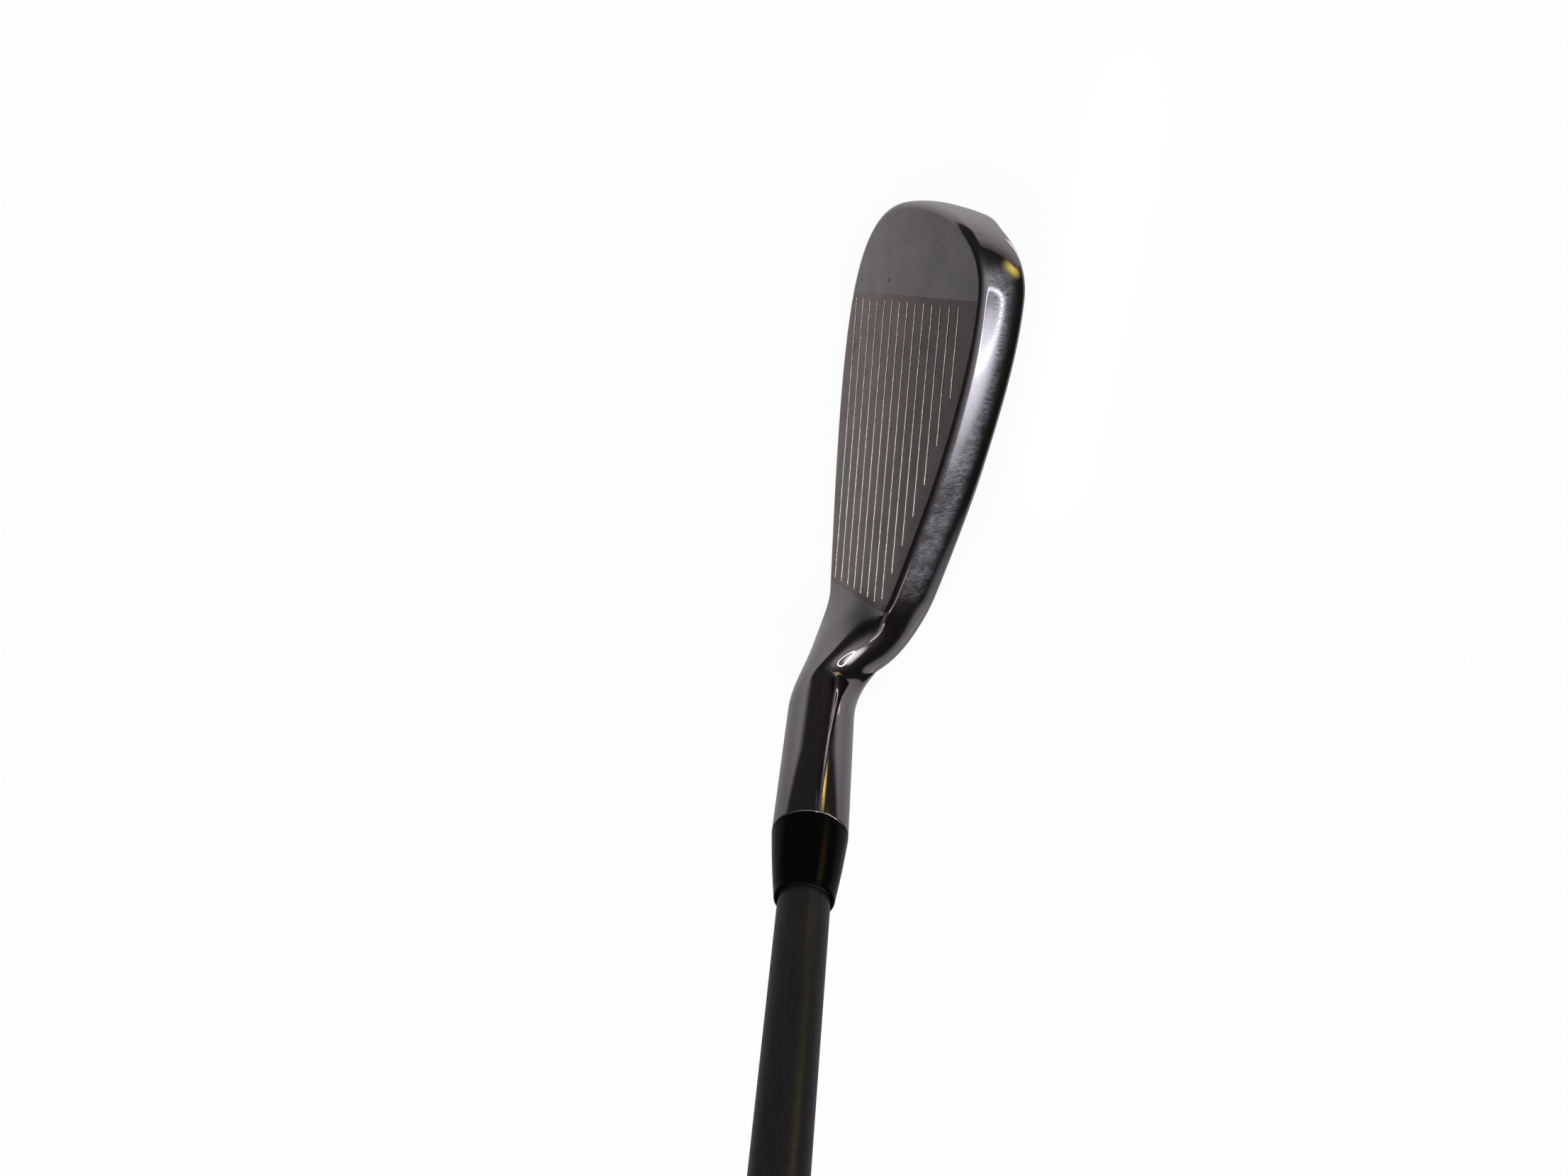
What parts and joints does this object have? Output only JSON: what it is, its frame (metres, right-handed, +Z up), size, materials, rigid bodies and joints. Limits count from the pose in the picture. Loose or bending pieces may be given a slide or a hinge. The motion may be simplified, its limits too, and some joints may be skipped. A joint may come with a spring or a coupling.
{
  "type": "iron golf club",
  "caption": "Right-handed iron golf club: lofted steel blade with score lines, cavity back, offset hosel, black ferrule, tapered carbon fibre shaft and rubber grip.",
  "frame": {"origin": "the spot of the sole that rests on the ground at address", "axes": "+X from toe to heel along the score lines, +Y away from the target, +Z up; the face looks towards -Y and up by the loft"},
  "size_m": [0.5391, 0.043, 0.8625],
  "materials": {
    "head_steel": "polished band and hosel, satin blasted face",
    "pad_foam": "matt foam",
    "badge_plate": "dark brushed",
    "ferrule_plastic": "polished black",
    "tip_brass": "turned",
    "shaft_carbon": "clear coated dark carbon fibre with fine flecks",
    "tape_paper": "paper tape",
    "grip_rubber": "matt moulded pattern",
    "cap_rubber": "matt"
  },
  "bodies": {
    "root": {"iron_head": "head_steel", "badge_pad": "pad_foam", "cavity_badge": "badge_plate", "ferrule": "ferrule_plastic", "tip_weight": "tip_brass", "shaft": "shaft_carbon", "grip_tape": "tape_paper", "grip_sleeve": "grip_rubber", "grip_cap": "cap_rubber"}
  },
  "joints": []
}
